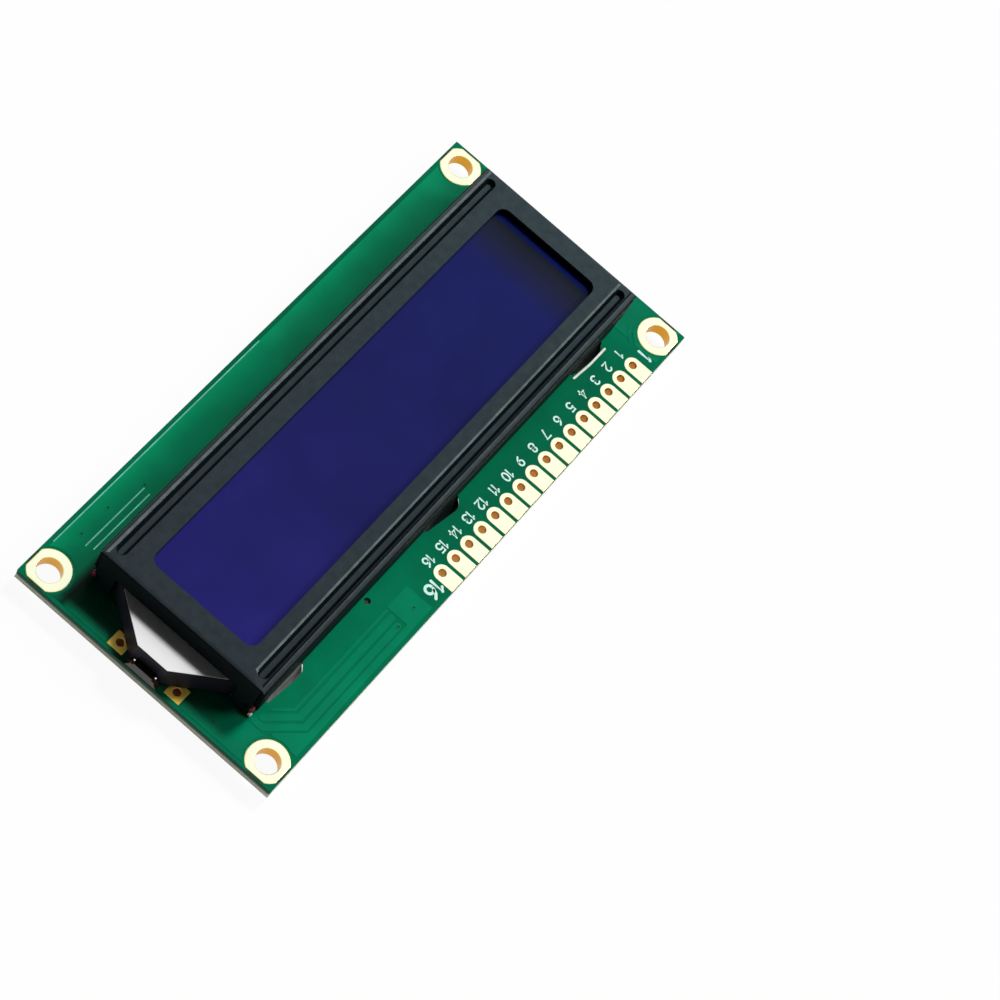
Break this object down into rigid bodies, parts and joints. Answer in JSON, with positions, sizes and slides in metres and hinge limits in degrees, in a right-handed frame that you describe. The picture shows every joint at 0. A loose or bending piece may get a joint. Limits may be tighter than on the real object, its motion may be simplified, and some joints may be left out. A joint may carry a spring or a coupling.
{
  "type": "character lcd module",
  "caption": "Character display module: blue display glass under a black stamped bezel on a green circuit board, lit from one end, with a row of empty pin holes.",
  "frame": {"origin": "under the middle of the board, at the level of the tips of the bezel's twisted tabs, which the module lies on", "axes": "+X along the reading direction, from pin 1 towards the lit end; +Y towards the header row; +Z out of the front of the display"},
  "size_m": [0.08, 0.036, 0.0101],
  "materials": {
    "board_laminate": "glass-fibre laminate under satin green solder mask",
    "gold_plating": "thin bright gold over copper",
    "bezel_black": "satin black on folded sheet steel",
    "polarizer_blue": "smooth blue polarizing film",
    "display_glass": "clear polished glass",
    "seal_epoxy": "cured clear amber epoxy",
    "strip_rubber": "matt pink silicone with fine black layers",
    "white_film": "plain white film",
    "clear_plastic": "clear moulded acrylic",
    "lamp_dark": "dark clear resin",
    "solder": "bright tin",
    "black_epoxy": "satin black potting epoxy",
    "chip_black": "black glazed ceramic",
    "chip_tan": "matt tan ceramic"
  },
  "bodies": {
    "root": {"printed_circuit_board": "board_laminate", "mounting_hole_plating": "gold_plating", "header_hole_plating": "gold_plating", "lamp_lands": "gold_plating", "contact_fingers": "gold_plating", "bezel": "bezel_black", "front_polarizer": "polarizer_blue", "front_glass": "display_glass", "rear_glass": "display_glass", "rear_polarizer": "polarizer_blue", "filling_port_seal": "seal_epoxy", "connector_strip_upper": "strip_rubber", "connector_strip_lower": "strip_rubber", "diffuser_film": "white_film", "light_guide": "clear_plastic", "rear_reflector": "white_film", "tongue_reflector": "white_film", "lamp_body": "lamp_dark", "lamp_terminals": "solder", "lamp_solder": "solder", "controller_dome": "black_epoxy", "driver_dome": "black_epoxy", "chip_resistors": "chip_black", "chip_capacitor": "chip_tan", "chip_end_caps": "solder", "chip_solder": "solder"}
  },
  "joints": []
}
